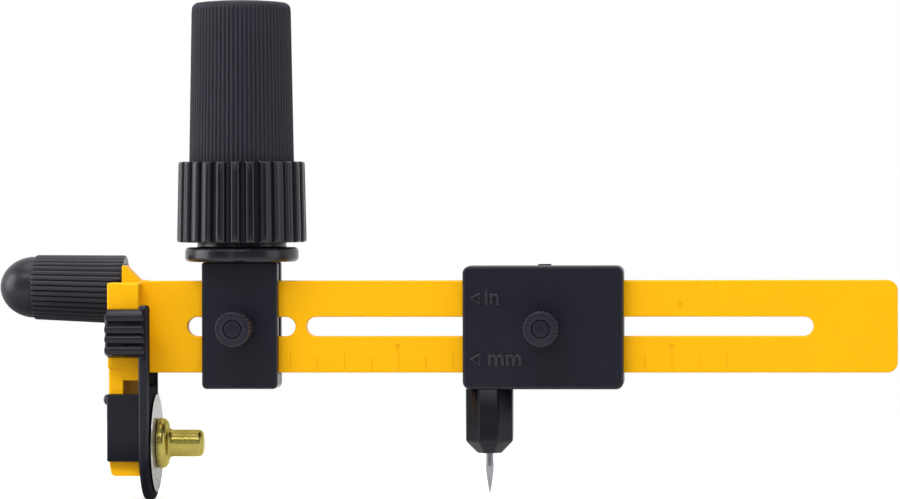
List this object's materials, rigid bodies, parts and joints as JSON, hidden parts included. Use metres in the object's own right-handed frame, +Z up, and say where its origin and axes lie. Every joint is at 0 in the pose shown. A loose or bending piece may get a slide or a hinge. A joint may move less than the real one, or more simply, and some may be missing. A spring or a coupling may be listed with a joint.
{
  "type": "circle cutter",
  "caption": "Compass-type circle cutter: a slotted arm with a guarded round blade at one end, a sliding needle carriage and a sliding ratchet grip, clamped by thumb screws",
  "frame": {"origin": "on the arm's back face, on the slots' centre line and in the blade's plane", "axes": "+X along the arm from the blade to the free end, +Z up towards the grip, +Y from the scale side to the back"},
  "size_m": [0.1656, 0.0289, 0.0918],
  "materials": {
    "arm": "satin",
    "guard_stop_pin": "gloss",
    "blade_stud": "turned",
    "blade_guard": "satin",
    "blade": "polished",
    "blade_nut": "polished",
    "needle_cap": "satin",
    "holder_front": "satin",
    "holder_back": "satin",
    "holder_screw_1": "turned",
    "holder_screw_2": "turned",
    "holder_clamp_nut": "polished",
    "holder_knob": "satin",
    "holder_knob_insert": "gloss",
    "holder_clamp_screw": "turned",
    "grip_flange": "gloss",
    "spindle": "turned",
    "spindle_washer": "turned",
    "spindle_nut": "turned",
    "ratchet_wheel": "turned",
    "pawl_1": "turned",
    "pawl_2": "turned",
    "pawl_pin_1": "turned",
    "pawl_pin_2": "turned",
    "pawl_spring_1": "turned",
    "pawl_spring_2": "turned",
    "pawl_cover": "satin",
    "grip_collar": "gloss",
    "grip_core": "satin",
    "grip_sleeve": "matt",
    "carriage_body": "satin",
    "carriage_back": "satin",
    "carriage_screw_1": "turned",
    "carriage_screw_2": "turned",
    "carriage_screw_3": "turned",
    "carriage_screw_4": "turned",
    "carriage_clamp_nut": "polished",
    "carriage_knob": "satin",
    "carriage_knob_insert": "gloss",
    "carriage_clamp_screw": "turned",
    "needle_holder": "gloss",
    "needle": "polished"
  },
  "bodies": {
    "arm": {"arm": "arm", "guard_stop_pin": "guard_stop_pin", "blade_stud": "blade_stud"},
    "guard": {"blade_guard": "blade_guard"},
    "blade": {"blade": "blade"},
    "nut": {"blade_nut": "blade_nut"},
    "cap": {"needle_cap": "needle_cap"},
    "holder": {"holder_front": "holder_front", "holder_back": "holder_back", "holder_screw_1": "holder_screw_1", "holder_screw_2": "holder_screw_2", "holder_clamp_nut": "holder_clamp_nut", "grip_flange": "grip_flange", "spindle": "spindle", "spindle_washer": "spindle_washer", "spindle_nut": "spindle_nut", "ratchet_wheel": "ratchet_wheel"},
    "holder_knob": {"holder_knob": "holder_knob", "holder_knob_insert": "holder_knob_insert", "holder_clamp_screw": "holder_clamp_screw"},
    "grip": {"grip_collar": "grip_collar", "pawl_cover": "pawl_cover", "pawl_pin_1": "pawl_pin_1", "pawl_pin_2": "pawl_pin_2", "pawl_spring_1": "pawl_spring_1", "pawl_spring_2": "pawl_spring_2", "grip_core": "grip_core", "grip_sleeve": "grip_sleeve"},
    "pawl_1": {"pawl_1": "pawl_1"},
    "pawl_2": {"pawl_2": "pawl_2"},
    "carriage": {"carriage_body": "carriage_body", "carriage_back": "carriage_back", "carriage_screw_1": "carriage_screw_1", "carriage_screw_2": "carriage_screw_2", "carriage_screw_3": "carriage_screw_3", "carriage_screw_4": "carriage_screw_4", "carriage_clamp_nut": "carriage_clamp_nut", "needle_holder": "needle_holder", "needle": "needle"},
    "carriage_knob": {"carriage_knob": "carriage_knob", "carriage_knob_insert": "carriage_knob_insert", "carriage_clamp_screw": "carriage_clamp_screw"}
  },
  "joints": [
    {"name": "guard_slide", "type": "slide", "parent": "arm", "child": "guard", "axis": [0, 0, 1], "range_m": [0, 0.0024]},
    {"name": "blade_spin", "type": "hinge", "parent": "arm", "child": "blade", "pos_m": [0, -0.0015, -0.02145], "axis": [1, 0, 0], "continuous": true},
    {"name": "nut_turn", "type": "hinge", "parent": "arm", "child": "nut", "pos_m": [0.004, -0.0015, -0.02145], "axis": [1, 0, 0], "range_deg": [0, 360]},
    {"name": "cap_pull", "type": "slide", "parent": "arm", "child": "cap", "axis": [-1, 0, 0], "range_m": [0, 0.018]},
    {"name": "holder_slide", "type": "slide", "parent": "arm", "child": "holder", "axis": [1, 0, 0], "range_m": [-0.0078, 0.0015]},
    {"name": "holder_knob_turn", "type": "hinge", "parent": "holder", "child": "holder_knob", "pos_m": [0.01576, -0.01, 0], "axis": [0, 1, 0], "range_deg": [0, 360]},
    {"name": "grip_spin", "type": "hinge", "parent": "holder", "child": "grip", "pos_m": [0.01576, -0.0015, 0.03], "axis": [0, 0, 1], "continuous": true},
    {"name": "pawl_1_lift", "type": "hinge", "parent": "grip", "child": "pawl_1", "pos_m": [0.02367, -0.00536, 0.019], "axis": [0, 0, -1], "range_deg": [0, 12], "stiffness_Nm_per_rad": 0.001, "springref_deg": -5.73, "deforming": ["pawl_spring_1"]},
    {"name": "pawl_2_lift", "type": "hinge", "parent": "grip", "child": "pawl_2", "pos_m": [0.00785, 0.00236, 0.019], "axis": [0, 0, -1], "range_deg": [0, 12], "stiffness_Nm_per_rad": 0.001, "springref_deg": -5.73, "deforming": ["pawl_spring_2"]},
    {"name": "carriage_slide", "type": "slide", "parent": "arm", "child": "carriage", "axis": [1, 0, 0], "range_m": [-0.0315, 0.0475]},
    {"name": "carriage_knob_turn", "type": "hinge", "parent": "carriage", "child": "carriage_knob", "pos_m": [0.07131, -0.01, 0], "axis": [0, 1, 0], "range_deg": [0, 360]}
  ],
  "couplings": [
    {"joint": "pawl_2_lift", "follows": "pawl_1_lift", "ratio": 1}
  ]
}
